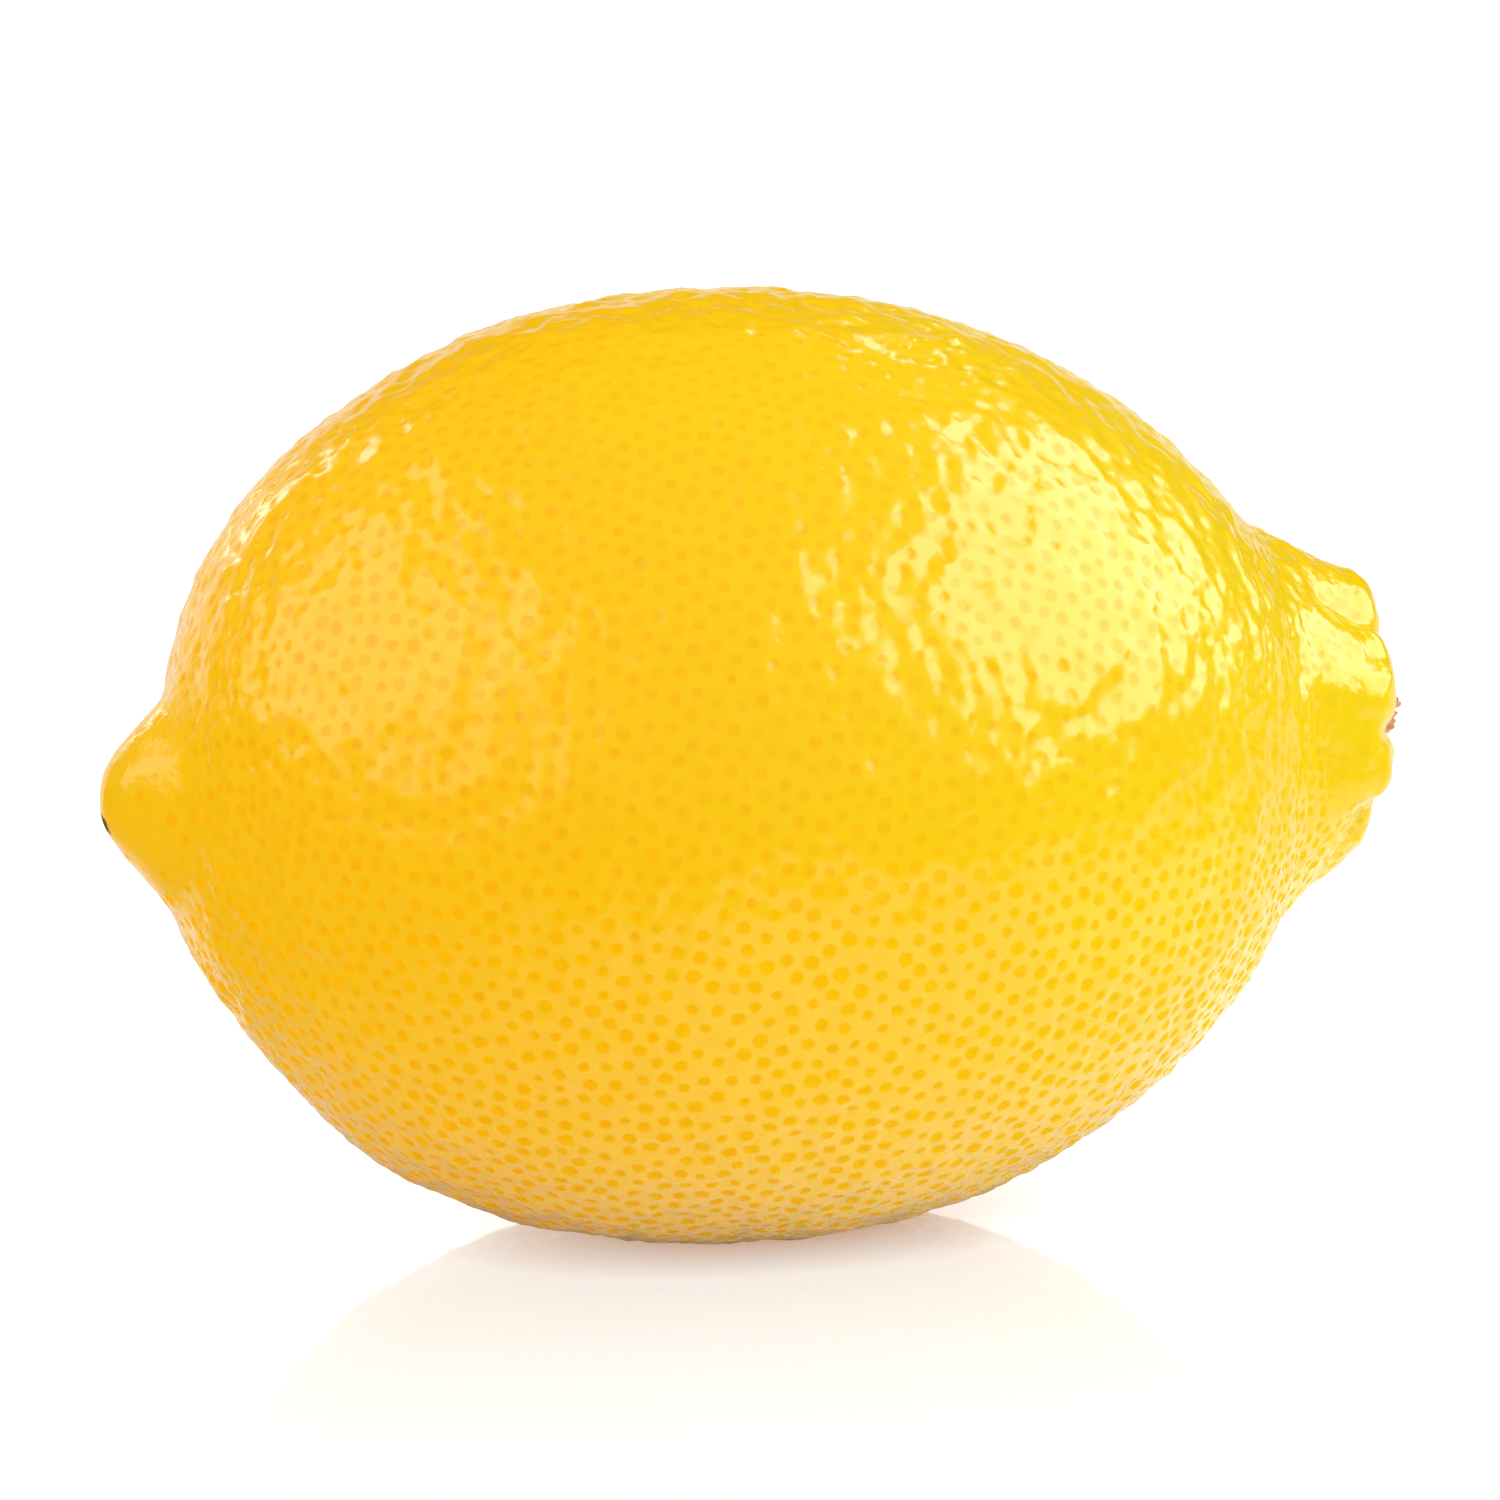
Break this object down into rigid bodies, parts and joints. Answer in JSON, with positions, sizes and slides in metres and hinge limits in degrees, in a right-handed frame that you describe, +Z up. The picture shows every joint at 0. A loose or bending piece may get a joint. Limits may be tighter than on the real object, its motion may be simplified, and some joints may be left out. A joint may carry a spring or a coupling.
{
  "type": "lemon",
  "caption": "Whole ripe lemon lying on its side, with a nipple at the blossom end and a dry stem button in the hollow of its lobed neck.",
  "frame": {"origin": "middle of the base of the fruit's box, on the surface it rests on", "axes": "+X along the fruit's long axis towards the stem end, +Z up, +Y across the fruit away from its show side"},
  "size_m": [0.0868, 0.0622, 0.0616],
  "materials": {
    "peel": "waxy, glossy peel dotted with oil glands",
    "dry_stem": "dry, matte, fibrous wood"
  },
  "bodies": {
    "root": {"fruit": "peel", "stem_button": "dry_stem"}
  },
  "joints": []
}
